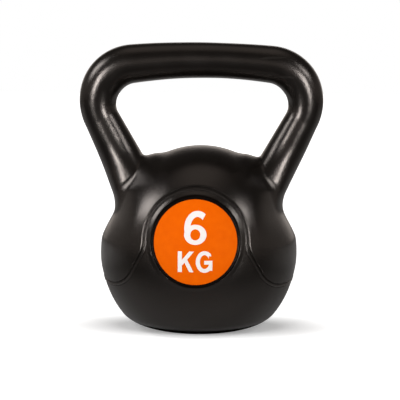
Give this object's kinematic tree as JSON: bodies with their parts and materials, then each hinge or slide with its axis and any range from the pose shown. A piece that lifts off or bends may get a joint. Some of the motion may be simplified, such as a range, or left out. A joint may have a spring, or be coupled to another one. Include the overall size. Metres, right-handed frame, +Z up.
{
  "type": "kettlebell",
  "caption": "Round cement-filled kettlebell with a thick black plastic shell, a crowned handle filled like the body, and a round label in a recess on each side.",
  "frame": {"origin": "middle of the base, on the surface it stands on", "axes": "+Z up through the handle, +X along the grip, and the label with the printed weight faces -Y"},
  "size_m": [0.2128, 0.1715, 0.2487],
  "materials": {
    "black_vinyl": "blow-moulded black plastic with a fine satin texture",
    "cement_fill": "set cement and sand mix",
    "black_plug": "injection-moulded black plastic, satin",
    "label_adhesive": "thin clear acrylic adhesive",
    "orange_label": "self-adhesive film printed orange, satin",
    "white_ink": "white screen-printed ink"
  },
  "bodies": {
    "root": {"shell": "black_vinyl", "fill": "cement_fill", "fill_plug": "black_plug", "front_label_adhesive": "label_adhesive", "front_label": "orange_label", "weight_marking": "white_ink", "back_label_adhesive": "label_adhesive", "back_label": "orange_label"}
  },
  "joints": []
}
